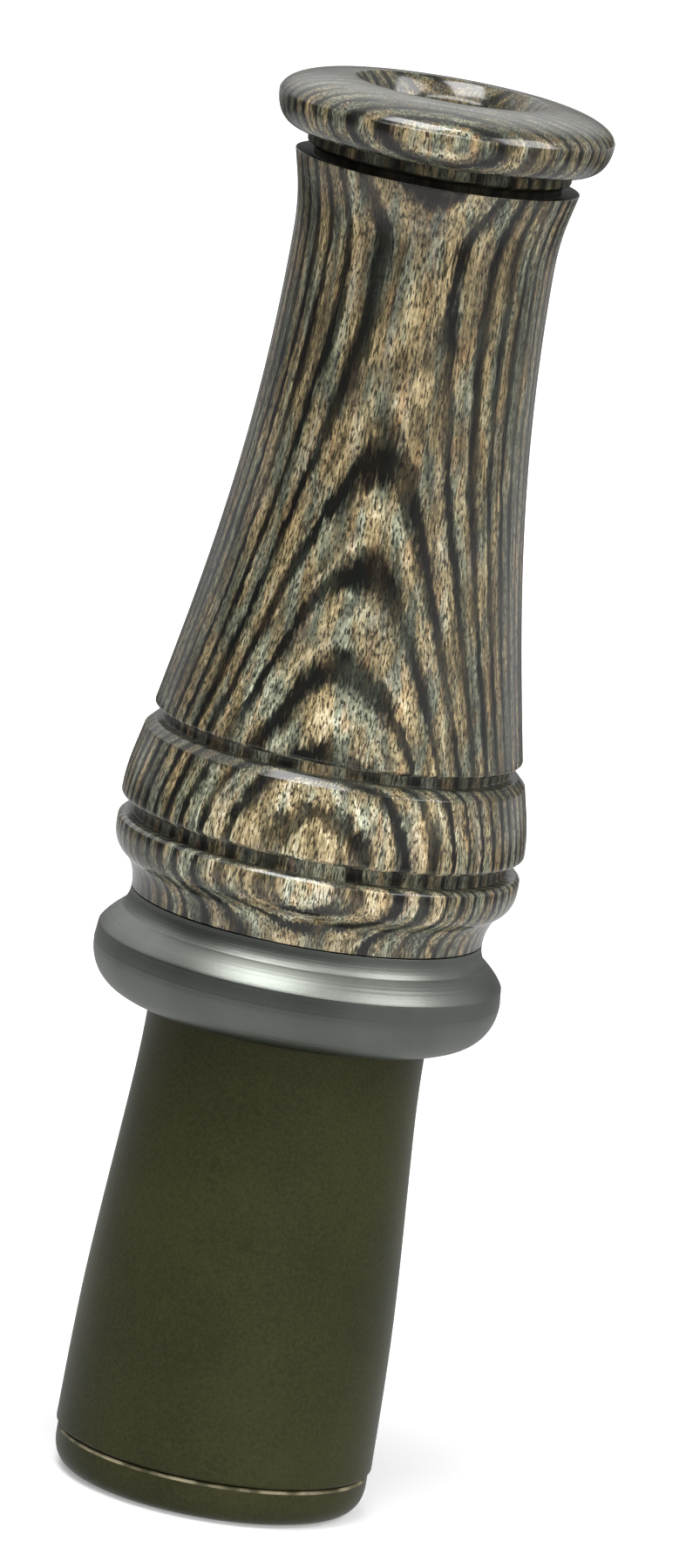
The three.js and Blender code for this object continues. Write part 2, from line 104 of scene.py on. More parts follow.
def woven(name, grid):
    """Closes a grid of points in both directions and makes it a mesh of four-sided faces."""
    rows, columns = grid.shape[:2]
    i, j = np.arange(rows)[:, None], np.arange(columns)[None, :]
    next_i, next_j = (i + 1) % rows, (j + 1) % columns
    corners = [i * columns + j, i * columns + next_j,
               next_i * columns + next_j, next_i * columns + j]
    faces = np.stack(corners, -1).reshape(-1, 4)
    mesh = bpy.data.meshes.new(name)
    mesh.from_pydata(grid.reshape(-1, 3).tolist(), [], faces.tolist())
    mesh.polygons.foreach_set("use_smooth", np.ones(len(faces), bool))
    mesh.update()
    piece = bpy.data.objects.new(name, mesh)
    bpy.context.scene.collection.objects.link(piece)
    return piece


def turned(name, outline, centres=None, sides=256):
    """Lathe surface: a closed outline of (radius, height) rows, read anticlockwise, is carried
    round the Z axis. Row i at step j lies at its radius in the direction 2 pi j / sides from the
    row's centre, which is the axis unless centres says otherwise."""
    angle = np.arange(sides) * 2 * np.pi / sides
    middle = np.zeros((len(outline), 2)) if centres is None else centres
    x = middle[:, :1] + outline[:, :1] * np.cos(angle)
    y = middle[:, 1:] + outline[:, :1] * np.sin(angle)
    z = np.repeat(outline[:, 1:], sides, axis=1)
    return woven(name, np.stack([x, y, z], -1))


flare = sweep_through([
    (foot_radius, seam + edge_round),
    (belly_radius, seam + belly_rise),
    (waisted_radius, shoulder - waisted_drop),
    (top_radius, shoulder),
])
grooves = [
    (radius, middle + side * groove_width / 2)
    for middle in groove_middles
    for radius, side in ((spigot_radius, -1), (groove_floor, -1),
                         (groove_floor, 1), (spigot_radius, 1))
]
tube_outline = np.vstack([
    [(bore_radius, seam), (foot_radius - edge_round, seam)],
    flare,
    [(spigot_radius, shoulder)],
    grooves,
    [(spigot_radius, spigot_end - spigot_chamfer), (spigot_radius - spigot_chamfer, spigot_end),
     (spigot_bore, spigot_end), (spigot_bore, shoulder), (chamber_radius, chamber_top),
     (bore_radius - ledge_width, ledge), (bore_radius, ledge),
     (bore_radius, snap_middle + snap_half + snap_depth),
     (bore_radius + snap_depth, snap_middle + snap_half),
     (bore_radius + snap_depth, snap_middle - snap_half),
     (bore_radius, snap_middle - snap_half - snap_depth)],
])
mouth_tube = turned("mouth_tube_moulding", eased(tube_outline, mould_edge))


def put(tree, kind, inputs=None, **settings):
    """Adds a node. inputs pairs a socket with a value, or with the output that feeds it."""
    node = tree.nodes.new("ShaderNode" + kind)
    for key, value in settings.items():
        setattr(node, key, value)
    for key, value in (inputs or {}).items():
        if isinstance(value, bpy.types.NodeSocket):
            tree.links.new(value, node.inputs[key])
        else:
            node.inputs[key].default_value = value
    return node


def maths(tree, operation, *values):
    """One number worked out from others, at every point of the surface."""
    return put(tree, "Math", dict(enumerate(values)), operation=operation).outputs[0]


def rescaled(tree, value, low, high, to_low=0.0, to_high=1.0):
    """Eases a value from one range into another and stops at its ends."""
    ranges = {"Value": value, "From Min": low, "From Max": high,
              "To Min": to_low, "To Max": to_high}
    return put(tree, "MapRange", ranges, interpolation_type="SMOOTHSTEP").outputs[0]


def place_in_mm(tree):
    """The piece's own coordinates in millimetres."""
    place = put(tree, "TexCoord").outputs["Object"]
    return put(tree, "VectorMath", {0: place, "Scale": 1 / MM}, operation="SCALE").outputs[0]


def noise(tree, place, per_mm, detail, roughness=0.5):
    """Cloudy noise around 0.5, with about that many clouds to the millimetre."""
    return put(tree, "TexNoise", {"Vector": place, "Scale": per_mm, "Detail": detail,
                                  "Roughness": roughness}).outputs[0]


def tint(red, green, blue):
    """A colour given as it looks on a screen, from 0 to 255, made linear."""
    share = np.array([red, green, blue]) / 255
    linear = np.where(share > 0.04045, ((share + 0.055) / 1.055) ** 2.4, share / 12.92)
    return (*linear.tolist(), 1.0)


def between(tree, share, low, high):
    """Mixes two colours by a mask: low where it is 0, high where it is 1."""
    node = put(tree, "Mix", {0: share, 6: low, 7: high}, data_type="RGBA")
    return node.outputs[2]


def handled_skin():
    """Group: the uneven gloss of a handled surface, and the fine grain of its skin as a height."""
    group = bpy.data.node_groups.new("handled skin", "ShaderNodeTree")
    for name, usual in (("Roughness", 0.4), ("Unevenness", 0.1), ("Grain size", 0.2)):
        socket = group.interface.new_socket(name, in_out="INPUT", socket_type="NodeSocketFloat")
        socket.default_value = usual
    for name in ("Roughness", "Height"):
        group.interface.new_socket(name, in_out="OUTPUT", socket_type="NodeSocketFloat")
    given, result = group.nodes.new("NodeGroupInput"), group.nodes.new("NodeGroupOutput")
    place = place_in_mm(group)
    swing = maths(group, "SUBTRACT", noise(group, place, 0.11, 4.0), 0.5)
    uneven = maths(group, "MULTIPLY_ADD", swing, given.outputs["Unevenness"],
                   given.outputs["Roughness"])
    grains_per_mm = maths(group, "DIVIDE", 1.0, given.outputs["Grain size"])
    group.links.new(uneven, result.inputs["Roughness"])
    group.links.new(noise(group, place, grains_per_mm, 2.0), result.inputs["Height"])
    return group


skin = handled_skin()


def new_material(name):
    """An empty material with its nodes and its shader."""
    material = bpy.data.materials.new(name)
    material.use_nodes = True
    return material, material.node_tree, material.node_tree.nodes["Principled BSDF"]


def with_skin(tree, shader, roughness, unevenness, grain_size):
    """Gives a shader the handled skin's gloss, and returns the height of the skin's grain."""
    used = put(tree, "Group", {"Roughness": roughness, "Unevenness": unevenness,
                               "Grain size": grain_size}, node_tree=skin)
    tree.links.new(used.outputs["Roughness"], shader.inputs["Roughness"])
    return used.outputs["Height"]


def pressed(tree, shader, *layers):
    """Presses heights into the surface, one over the other; a layer is a height and its depth in
    millimetres."""
    below = None
    for height, depth in layers:
        bump = put(tree, "Bump", {"Height": height, "Distance": depth * MM})
        if below is not None:
            tree.links.new(below.outputs[0], bump.inputs["Normal"])
        below = bump
    tree.links.new(below.outputs[0], shader.inputs["Normal"])


def moulded_plastic(name, deep, worn, roughness):
    """Plastic whose colour drifts a little between a deeper and a paler tone. Where the piece's own
    attribute says so, its edge is painted pale as a highlight."""
    material, tree, shader = new_material(name)
    place = place_in_mm(tree)
    cloud, speckle = noise(tree, place, 0.07, 3.0), noise(tree, place, 3.4, 3.0)
    drift = put(tree, "Mix", {0: 0.55, 2: cloud, 3: speckle}).outputs[0]
    plain = between(tree, rescaled(tree, drift, 0.35, 0.65), deep, worn)
    edge = put(tree, "Attribute", attribute_name="painted_edge_highlight").outputs["Fac"]
    patchy = rescaled(tree, noise(tree, place, 0.3, 4.0), 0.38, 0.62, 0.1, 0.9)
    # Painted highlight: in patches, the marked rim edge is mixed towards a pale tint that stands in
    # for the lamps' glint on it.
    edge_painted_pale = between(tree, maths(tree, "MULTIPLY", edge, patchy), plain, tint(168, 158, 130))
    tree.links.new(edge_painted_pale, shader.inputs["Base Color"])
    shader.inputs["Specular IOR Level"].default_value = 0.14
    grain = with_skin(tree, shader, roughness, unevenness=0.12, grain_size=0.22)
    pressed(tree, shader, (grain, 0.012))
    return material


olive_plastic = moulded_plastic("olive brown plastic", tint(41, 43, 24), tint(55, 54, 31), 0.36)
mouth_tube.data.materials.append(olive_plastic)
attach(mouth_tube, "mouthpiece")
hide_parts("mouth_tube")

# Selector cap: the same plastic, a flanged disc that snaps into the tube's mouth and turns there.
# Its one blow hole opens the voice that stands above it. Its upper edge is painted pale as a
# highlight.
cap_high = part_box("selector_cap")[1]
cap_radius, skirt_top = cap_high.x, cap_high.z
seam_gap = 0.12 * MM
cap_height, corner, cap_edge = seam - seam_gap, 2.8 * MM, 0.45 * MM
plate, skirt_wall, skirt_gap = 3.0 * MM, 1.6 * MM, 0.1 * MM
skirt_radius = bore_radius - skirt_gap
hole_radius, hole_chamfer, hole_offset = 3.2 * MM, 0.4 * MM, 6.59 * MM
cap_snap_half = 0.4 * MM
highlight_band_width, highlight_band_height = 0.2 * MM, 0.3 * MM


def bend(start, end, first, second, steps=24):
    """Cubic curve from one (radius, height) point to the next: (1 - t)^3 of the start,
    3 (1 - t)^2 t of the first handle, 3 (1 - t) t^2 of the second and t^3 of the end. A handle
    stands at a share of the way out and a share of the way up."""
    start, end = np.array(start), np.array(end)
    way = end - start
    t = np.linspace(0, 1, steps + 1)[:, None]
    near, far = start + way * first, start + way * second
    return ((1 - t) ** 3 * start + 3 * (1 - t) ** 2 * t * near
            + 3 * (1 - t) * t**2 * far + t**3 * end)


def mark(piece, name, shares):
    """Stores one share for each row of a turned piece's outline as a point attribute."""
    attribute = piece.data.attributes.new(name, "FLOAT", "POINT")
    columns = len(piece.data.vertices) // len(shares)
    attribute.data.foreach_set("value", np.repeat(shares, columns))


cap_outline = np.vstack([
    [(hole_radius, plate), (hole_radius, hole_chamfer), (hole_radius + hole_chamfer, 0)],
    bend((cap_radius - corner, 0), (cap_radius, corner), (2 / 3, 0), (1, 1 / 3)),
    bend((cap_radius, cap_height - cap_edge), (cap_radius - cap_edge, cap_height),
         (0, 0.6), (0.4, 1), steps=8),
    [(skirt_radius, cap_height),
     (skirt_radius, snap_middle - cap_snap_half - snap_depth),
     (skirt_radius + snap_depth, snap_middle - cap_snap_half),
     (skirt_radius + snap_depth, snap_middle + cap_snap_half),
     (skirt_radius, snap_middle + cap_snap_half + snap_depth),
     (skirt_radius, skirt_top), (skirt_radius - skirt_wall, skirt_top),
     (skirt_radius - skirt_wall, plate)],
])
cap_outline = eased(cap_outline, mould_edge)
radius, height = cap_outline.T
round_the_hole = radius < hole_radius + 1.5 * hole_chamfer
centres = np.stack([np.zeros(len(cap_outline)), np.where(round_the_hole, -hole_offset, 0)], 1)
cap = turned("selector_cap_moulding", cap_outline, centres)
# The cap's rim edge is marked for the painted highlight.
on_rim = (radius > cap_radius - highlight_band_width) & (height > cap_height - highlight_band_height)
mark(cap, "painted_edge_highlight", on_rim * 1.0)
cap.data.materials.append(olive_plastic)
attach(cap, "selector")
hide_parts("selector_cap")

# Reed carrier and tone boards: moulded in ivory plastic, and seen only down the bell or with the
# call apart. The carrier's three sockets hold the feet of the voices.
VOICES = ("low", "mid", "high")
ivory_plastic = moulded_plastic("ivory plastic", tint(196, 190, 172), tint(214, 209, 193), 0.38)


def give_finish(node, material):
    """Gives a CAD node its material, in place of the plain one that it came with."""
    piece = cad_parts[node]
    piece.data.materials.clear()
    piece.data.materials.append(material)


for node in ("reed_carrier", *(f"tone_board_{voice}" for voice in VOICES)):
    give_finish(node, ivory_plastic)

# Sleeves: one thin brass tube stands round each tone board, in its socket in the carrier, and keeps
# lips and fingers off the reed. It is cut from drawn tube, along which the die left faint lines.
def stretched_noise(tree, place, sizes, detail=2.0, roughness=0.5, seed=0.0):
    """Cloudy noise around 0.5 whose clouds have those sizes along X, Y and Z in millimetres."""
    scale = tuple(1 / size for size in sizes)
    moved = put(tree, "Mapping", {"Vector": place, "Location": (seed, seed, seed), "Scale": scale})
    return noise(tree, moved.outputs[0], 1.0, detail, roughness)


def drawn_brass():
    """Brass with lighter and darker lines along the tube."""
    material, tree, shader = new_material("drawn brass")
    lines = stretched_noise(tree, place_in_mm(tree), (1 / 3, 1 / 3, 20 / 3), detail=4.0)
    colour = between(tree, lines, tint(150, 116, 62), tint(205, 170, 100))
    tree.links.new(colour, shader.inputs["Base Color"])
    shader.inputs["Metallic"].default_value = 1.0
    grain = with_skin(tree, shader, roughness=0.3, unevenness=0.2, grain_size=0.4)
    pressed(tree, shader, (grain, 0.004))
    return material


brass = drawn_brass()
for voice in VOICES:
    give_finish(f"voice_sleeve_{voice}", brass)

# Reeds: strips of milky polyester film, cut square and clipped at the free tip. Each lies over the
# air channel of its tone board, and its root is held in a slot there.
def polyester_film():
    """Film that is a little cloudier in places."""
    material, tree, shader = new_material("polyester film")
    cloud = noise(tree, place_in_mm(tree), 0.5, 2.0)
    milky = between(tree, cloud, tint(214, 212, 204), tint(232, 230, 224))
    tree.links.new(milky, shader.inputs["Base Color"])
    shader.inputs["IOR"].default_value = 1.6
    grain = with_skin(tree, shader, roughness=0.16, unevenness=0.06, grain_size=0.6)
    pressed(tree, shader, (grain, 0.002))
    return material


film = polyester_film()
for voice in VOICES:
    give_finish(f"reed_{voice}", film)

# Wedges, seal and O-rings: moulded in black rubber. A wedge jams each reed's root in its slot, a
# pad with three holes seals the turning cap against the carrier, and two O-rings of 1.8 mm cord lie
# in the spigot's grooves, where they hold the barrel.
def black_rubber():
    """Rubber with a faint grey bloom in patches."""
    material, tree, shader = new_material("black rubber")
    bloom = rescaled(tree, noise(tree, place_in_mm(tree), 0.35, 5.0), 0.45, 0.75)
    colour = between(tree, bloom, tint(24, 24, 23), tint(45, 45, 42))
    tree.links.new(colour, shader.inputs["Base Color"])
    grain = with_skin(tree, shader, roughness=0.62, unevenness=0.2, grain_size=0.12)
    pressed(tree, shader, (grain, 0.01))
    return material


rubber = black_rubber()
for node in ("selector_seal", *(f"reed_wedge_{voice}" for voice in VOICES)):
    give_finish(node, rubber)

cord_steps, cord_sides = 160, 24
for name in ("o_ring_lower", "o_ring_upper"):
    low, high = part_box(name)
    cord = (high.z - low.z) / 2
    round_cord = np.arange(cord_sides) * 2 * np.pi / cord_sides
    section = np.stack([high.x - cord + cord * np.cos(round_cord),
                        (low.z + high.z) / 2 + cord * np.sin(round_cord)], 1)
    o_ring = turned(name + "_cord", section, sides=cord_steps)
    o_ring.data.materials.append(rubber)
    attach(o_ring, "o_rings")
    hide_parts(name)

# Barrel ring: turned from aluminium bar, bead-blasted and anodised to a dark satin grey, then
# pressed and glued over the barrel's tenon. A crisp edge parts its shoulder from its belly.
ring_low, ring_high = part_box("barrel_ring")
stock = ring_high.x
tenon = top_radius + 1.2 * MM
ring_bore = tenon + 0.3 * MM
ring_top, foot_break = ring_bore + 1.9 * MM, 0.4 * MM
cove_foot, cove_sweep = ring_high.z - 1.8 * MM, 0.55 * MM
crisp_edge, crisp_step = ring_high.z - 3.8 * MM, 0.15 * MM
widest = crisp_edge - 1.5 * MM
ring_break = 0.1 * MM

belly = bend((ring_bore + foot_break, ring_low.z), (stock, widest), (0.5, 0), (1, 0.35))
ring_shoulder = bend((stock - crisp_step, crisp_edge), (ring_top + cove_sweep, cove_foot),
                     (0.2, 0.35), (0.65, 0.75))
ring_cove = bend(ring_shoulder[-1], (ring_top, ring_high.z), (0.6, 0.25), (1, 0.6))
ring_outline = np.vstack([
    [(ring_bore, ring_low.z + foot_break)], belly, ring_shoulder, ring_cove[1:],
    [(ring_bore, ring_high.z)],
])


def anodised_aluminium():
    """Dark satin grey, blasted over the fine rings that the turning tool left."""
    material, tree, shader = new_material("anodised aluminium")
    place = place_in_mm(tree)
    patches = rescaled(tree, noise(tree, place, 0.12, 4.0), 0.3, 0.7)
    colour = between(tree, patches, tint(123, 127, 121), tint(134, 138, 132))
    tree.links.new(colour, shader.inputs["Base Color"])
    shader.inputs["Metallic"].default_value = 1.0
    height = put(tree, "SeparateXYZ", {0: place}).outputs["Z"]
    rings = put(tree, "TexNoise", {"W": height, "Scale": 5.0, "Detail": 3.0}, noise_dimensions="1D")
    blasted = with_skin(tree, shader, roughness=0.4, unevenness=0.12, grain_size=0.15)
    pressed(tree, shader, (blasted, 0.008), (rings.outputs[0], 0.016))
    return material


ring = turned("barrel_ring_turning", eased(ring_outline, ring_break))
ring.data.materials.append(anodised_aluminium())
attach(ring, "barrel")
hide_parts("barrel_ring")

# Barrel: turned from a block of dyed birch veneers that were pressed and resin-glued flat, so the
# glue lines run along the call and circle every swell and hollow. It is sanded and lacquered, and
# its socket slides over the O-rings on the spigot.
barrel_low, barrel_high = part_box("barrel")
joint = ring_high.z + 0.12 * MM
socket, socket_end = spigot_radius + 0.2 * MM, spigot_end + 0.9 * MM
bell_bore, bore_cone_end = 7.6 * MM, socket_end + 3.7 * MM
edge_break, sanded_edge = 0.35 * MM, 0.15 * MM
cove_top, bead_radius = ring_high.z + 3.1 * MM, stock - 0.25 * MM
cove_top_radius, bead_top = bead_radius - 1.25 * MM, cove_top + 3.8 * MM
band_foot, band_radius = bead_top + 1.5 * MM, stock - 0.2 * MM
lower_groove_radius = band_radius - 1.5 * MM
band_top, band_top_radius, band_chamfer = band_foot + 7.6 * MM, band_radius - 1.05 * MM, 0.8 * MM
body_foot, body_foot_radius = band_top + 1.1 * MM, stock - 1.85 * MM
upper_groove_radius = body_foot_radius - 1.1 * MM
body_top, body_top_radius = body_foot + 53.0 * MM, 13.15 * MM
waist, waist_radius = body_top - 7.6 * MM, 12.05 * MM
neck_radius = body_top_radius - 0.95 * MM
undercut_radius = neck_radius - 0.75 * MM
undercut_foot, undercut_top, neck_foot = (body_top + rise * MM for rise in (-0.35, 0.45, 0.85))
rim_foot, rim_foot_radius = body_top + 2.0 * MM, 13.7 * MM
rim_edge, rim_radius = rim_foot + 3.5 * MM, 15.5 * MM
crown, lip, lip_drop = barrel_high.z, 1.3 * MM, 2.0 * MM

cove = bend((ring_top, joint), (cove_top_radius, cove_top), (0.05, 0.5), (0.55, 0.85))
bead = bend(cove[-1], (bead_radius, bead_top - edge_break), (0.8, 0.2), (1.1, 0.45))
lower_groove = [(bead_radius - edge_break, bead_top), (lower_groove_radius, bead_top),
                (lower_groove_radius, band_foot), (band_radius - edge_break, band_foot)]
band = bend((band_radius, band_foot + edge_break), (band_top_radius, band_top - band_chamfer),
            (0, 0.4), (0.65, 0.7))
upper_groove = [(band_top_radius - band_chamfer, band_top), (upper_groove_radius, band_top),
                (upper_groove_radius, body_foot), (body_foot_radius - edge_break, body_foot)]
flank = bend((body_foot_radius, body_foot + edge_break), (waist_radius, waist), (0.48, 0.28),
             (1, 0.58), steps=48)
throat = bend(flank[-1], (body_top_radius, body_top), (0, 0.5), (0.55, 0.7))
neck = [(undercut_radius, undercut_foot), (undercut_radius, undercut_top),
        (neck_radius, neck_foot), (neck_radius, rim_foot)]
rim = bend((rim_foot_radius, rim_foot), (rim_radius, rim_edge - edge_break), (0.65, 0.12), (1, 0.5))
dome = bend((rim_radius - edge_break / 2, rim_edge), (bell_bore + lip, crown), (0.1, 0.6), (0.5, 1))
bore_lip = bend(dome[-1], (bell_bore, crown - lip_drop), (0.25, 0.1), (0.8, 0.6), steps=12)
barrel_outline = eased(np.vstack([
    [(socket, barrel_low.z), (tenon, barrel_low.z), (tenon, joint)],
    cove, bead[1:], lower_groove, band, upper_groove, flank, throat[1:], neck, rim, dome,
    bore_lip[1:], [(bell_bore, bore_cone_end), (socket, socket_end)],
]), sanded_edge)
barrel = turned("barrel_turning", barrel_outline)

# Painted shade: the wood is darkened, and its lacquer thinned, most in the undercut, less up the
# neck and on its ledges, and faintly in both grooves and on the band's chamfer. It stands in for
# the shade of these recesses, and on the chamfer it dims the highlight.
radius, height = barrel_outline.T
outside = radius > bell_bore + MM
by_the_neck = outside & (height > body_top - 0.4 * MM) & (height < rim_foot + 0.1 * MM)
by_the_neck &= radius < body_top_radius - 0.1 * MM
up_the_neck = np.interp(height, [body_top + 0.5 * MM, body_top + 0.9 * MM], [1, 0.45])
neck_share = np.where(radius > neck_radius + 0.1 * MM, 0.4, up_the_neck)
lower_middle, upper_middle = (bead_top + band_foot) / 2, (band_top + body_foot) / 2
in_lower = outside & (radius < band_radius - 1.2 * MM) & (abs(height - lower_middle) < MM)
in_upper = outside & (radius < body_foot_radius - MM) & (abs(height - upper_middle) < 0.7 * MM)
on_chamfer = outside & (height > band_top - 0.9 * MM) & (height < band_top + 0.01 * MM)
painted_shade = neck_share * by_the_neck + 0.3 * in_lower + 0.2 * (in_upper | on_chamfer)
mark(barrel, "painted_shade", painted_shade)

# The block, in millimetres: how thick a veneer is, where the first glue line lies from the call's
# axis, and half of that line's thickness. The veneers lean and dip a little.
veneer, first_glue, glue_half = 1.44, -12.75, 0.09
lean, dip, dip_middle = math.radians(1), math.radians(0.5), 90
square_to_veneers = (math.sin(lean), math.cos(lean), math.tan(dip))


def dot(tree, vector, direction):
    """How far a vector reaches along a direction."""
    return put(tree, "VectorMath", {0: vector, 1: direction}, operation="DOT_PRODUCT").outputs[1]


def length(tree, vector):
    """How long a vector is."""
    return put(tree, "VectorMath", {0: vector}, operation="LENGTH").outputs[1]


def swing(tree, value, size):
    """Turns noise into a move of up to about size either way."""
    return maths(tree, "MULTIPLY_ADD", value, 2 * size, -size)


def cut_of_surface(tree):
    """Two masks: where the surface lies flat along the veneers, and where it is end grain."""
    outwards = put(tree, "TexCoord").outputs["Normal"]
    along = maths(tree, "ABSOLUTE", dot(tree, outwards, square_to_veneers))
    upright = maths(tree, "ABSOLUTE", put(tree, "SeparateXYZ", {0: outwards}).outputs["Z"])
    return rescaled(tree, along, 0.5, 0.95), rescaled(tree, upright, 0.55, 0.95)


def veneer_depth(tree, place, from_middle):
    """Depth in millimetres from the block's first glue line: the distance from the call's axis
    square to the veneers, and a slow and a quick wave, because pressed veneers lie unevenly."""
    slow = swing(tree, stretched_noise(tree, place, (9, 9, 22), seed=3), 0.40)
    quick = swing(tree, stretched_noise(tree, place, (1.1, 1.1, 5), seed=7), 0.20)
    waved = maths(tree, "ADD", from_middle, maths(tree, "ADD", slow, quick))
    return maths(tree, "ADD", waved, -first_glue - dip_middle * math.tan(dip))


def free_of_glue(tree, place, depth, broad_face, end_grain):
    """From its lowest at a glue line to 1 inside the veneer. The dark glue bleeds out by a distance
    that varies, is faint in places, and shows less on end grain, which takes dye more evenly; on
    the crown this fainter, lower-contrast look is also painted sheen."""
    torn = swing(tree, stretched_noise(tree, place, (0.25, 0.25, 2.0), seed=11), 0.30)
    layer = maths(tree, "DIVIDE", maths(tree, "ADD", depth, torn), veneer)
    from_glue = maths(tree, "MULTIPLY", maths(tree, "PINGPONG", layer, 0.5), veneer)
    bleed = stretched_noise(tree, place, (3, 3, 10), seed=13)
    bleed_end = rescaled(tree, bleed, 0.35, 0.65, 0.26, 0.55)
    faint = stretched_noise(tree, place, (4, 4, 14), seed=17)
    lowest = rescaled(tree, faint, 0.45, 0.68, 0.0, 0.5)
    lowest = maths(tree, "MULTIPLY_ADD", broad_face, 0.03, lowest)
    lowest = maths(tree, "MULTIPLY_ADD", end_grain, 0.25, lowest)
    return rescaled(tree, from_glue, glue_half, bleed_end, lowest, 1.0)


def fibres(tree, place, depth):
    """How light the fibres are, from 0 to 1: growth rings that follow the sheet of each veneer,
    streaks along the call and fine speckle, added up."""
    apart = put(tree, "SeparateXYZ", {0: place}).outputs
    in_sheets = put(tree, "CombineXYZ", {0: apart["X"], 1: depth, 2: apart["Z"]}).outputs[0]
    growth = stretched_noise(tree, in_sheets, (2.2, 0.28, 14), seed=41)
    streaks = stretched_noise(tree, place, (0.26, 0.26, 5), seed=31)
    speckle = stretched_noise(tree, place, (0.14, 0.14, 0.5), roughness=0.6, seed=23)
    grain = maths(tree, "MULTIPLY_ADD", streaks, 0.28, maths(tree, "MULTIPLY", growth, 0.42))
    grain = maths(tree, "MULTIPLY_ADD", speckle, 0.30, grain)
    return put(tree, "MapRange", {"Value": grain, "From Min": 0.34, "From Max": 0.66}).outputs[0]


def one_dye(tree, tone, *shades):
    """Colour of wood in one dye by its tone: six shades from glue to bare wood, and between."""
    tones = (0, 0.25, 0.45, 0.65, 0.85, 1)
    node = put(tree, "ValToRGB", {0: tone})
    elements = node.color_ramp.elements
    while len(elements) < len(tones):
        elements.new(0.5)
    for element, place_on_ramp, shade in zip(elements, tones, shades):
        element.position, element.color = place_on_ramp, tint(*shade)
    return node.outputs[0]


def dyed(tree, place, depth, tone, broad_face, end_grain):
    """Colour of the dyed wood by its tone: cool grey, warm tan where a veneer or a patch soaked up
    more, and here and there lilac or rust. End grain, the crown above all, is kept cooler and
    greyer as painted sheen."""
    number = maths(tree, "FLOOR", maths(tree, "DIVIDE", depth, veneer))
    own_dye = put(tree, "TexWhiteNoise", {"W": number}, noise_dimensions="1D").outputs["Value"]
    soaked = stretched_noise(tree, place, (1.4, 1.4, 8), detail=3.0, seed=19)
    soaked = maths(tree, "MULTIPLY_ADD", own_dye, 0.10, soaked)
    soaked = maths(tree, "MULTIPLY_ADD", broad_face, 0.05, soaked)
    # Painted sheen: end grain, the crown above all, loses warmth so that it looks grey, like a
    # reflection.
    greyer_ends_as_painted_sheen = maths(tree, "MULTIPLY_ADD", end_grain, -0.6, 1.0)
    warmth = maths(tree, "MULTIPLY", rescaled(tree, soaked, 0.44, 0.68), greyer_ends_as_painted_sheen)
    lilac = stretched_noise(tree, place, (2.0, 2.0, 9), detail=3.0, seed=47)
    rusty = stretched_noise(tree, place, (0.8, 0.8, 7), detail=3.0, seed=53)
    cool = one_dye(tree, tone, (13, 16, 13), (54, 57, 48), (91, 94, 80),
                   (131, 133, 113), (168, 169, 146), (205, 206, 184))
    warm = one_dye(tree, tone, (17, 15, 12), (65, 58, 42), (110, 97, 70),
                   (154, 138, 102), (191, 175, 138), (218, 206, 175))
    violet = one_dye(tree, tone, (16, 15, 15), (61, 56, 54), (101, 95, 90),
                     (143, 135, 127), (182, 172, 160), (212, 203, 190))
    rust = one_dye(tree, tone, (20, 15, 11), (72, 56, 38), (120, 94, 62),
                   (167, 132, 90), (203, 168, 123), (226, 202, 164))
    colour = between(tree, warmth, cool, warm)
    colour = between(tree, rescaled(tree, lilac, 0.52, 0.72, 0.0, 0.38), colour, violet)
    return between(tree, rescaled(tree, rusty, 0.54, 0.72, 0.0, 0.55), colour, rust)


